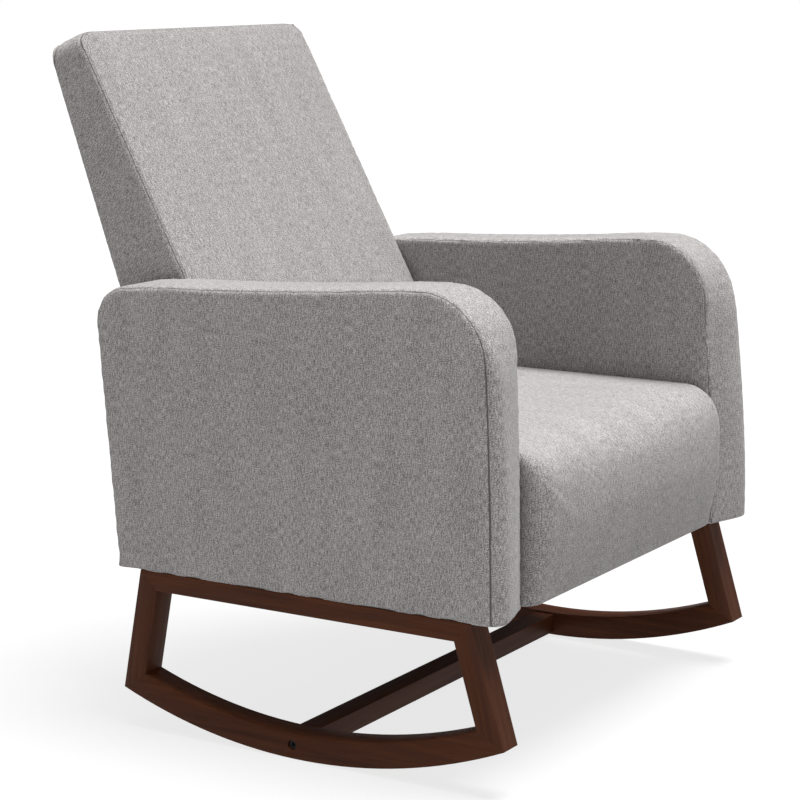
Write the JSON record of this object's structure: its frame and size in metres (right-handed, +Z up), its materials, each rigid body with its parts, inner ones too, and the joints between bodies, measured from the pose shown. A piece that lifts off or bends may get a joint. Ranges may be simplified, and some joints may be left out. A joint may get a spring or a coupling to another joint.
{
  "type": "upholstered rocking chair",
  "caption": "Upholstered nursery rocking chair with padded arms, a sprung seat and a high raked back, on two closed timber rocker frames joined by a crossbar.",
  "frame": {"origin": "On the floor, at the line where the two rockers touch it when the chair is at rest, midway between the rockers.", "axes": "+Z up; the sitter faces -Y; +X is the sitter's left."},
  "size_m": [0.752, 0.7895, 0.95],
  "materials": {
    "stained_wood": "satin",
    "softwood": "matte",
    "plywood": "matte",
    "hardboard": "matte",
    "beech_dowel": "matte",
    "cover_fabric": "matte",
    "foam": "matte",
    "felt": "matte",
    "elastic_webbing": "matte",
    "dust_cloth": "matte",
    "zinc_steel": "satin",
    "spring_wire": "satin",
    "black_steel": "satin"
  },
  "bodies": {
    "root": {"right_rocker": "stained_wood", "left_rocker": "stained_wood", "right_front_post": "stained_wood", "left_front_post": "stained_wood", "right_rear_post": "stained_wood", "left_rear_post": "stained_wood", "right_top_rail": "stained_wood", "left_top_rail": "stained_wood", "crossbar": "stained_wood", "frame_dowels": "beech_dowel", "crossbar_bolts": "black_steel", "barrel_nuts": "zinc_steel", "base_bolts": "black_steel", "base_washers": "zinc_steel", "base_tee_nuts": "zinc_steel", "seat_front_rail": "softwood", "seat_rear_rail": "softwood", "seat_right_rail": "softwood", "seat_left_rail": "softwood", "seat_corner_blocks": "softwood", "seat_springs": "spring_wire", "spring_clips": "zinc_steel", "spring_pad": "felt", "seat_foam": "foam", "seat_cover": "cover_fabric", "dust_cover": "dust_cloth", "dust_cover_staples": "zinc_steel", "right_arm_outer_cover": "cover_fabric", "left_arm_outer_cover": "cover_fabric", "right_arm_inner_cover": "cover_fabric", "left_arm_inner_cover": "cover_fabric", "right_arm_boxing": "cover_fabric", "left_arm_boxing": "cover_fabric", "right_arm_foam": "foam", "left_arm_foam": "foam", "right_arm_outer_board": "hardboard", "left_arm_outer_board": "hardboard", "right_arm_inner_board": "hardboard", "left_arm_inner_board": "hardboard", "right_arm_front_post": "softwood", "left_arm_front_post": "softwood", "right_arm_rear_post": "softwood", "left_arm_rear_post": "softwood", "right_arm_top_plank": "softwood", "left_arm_top_plank": "softwood", "right_arm_bottom_plank": "softwood", "left_arm_bottom_plank": "softwood", "arm_bolts": "black_steel", "arm_bolt_washers": "zinc_steel", "arm_insert_nuts": "zinc_steel", "back_right_side": "plywood", "back_left_side": "plywood", "back_top_rail": "softwood", "back_lower_rail": "softwood", "back_straps": "elastic_webbing", "back_foam": "foam", "back_front_cover": "cover_fabric", "back_boxing": "cover_fabric", "back_rear_cover": "cover_fabric"}
  },
  "joints": []
}
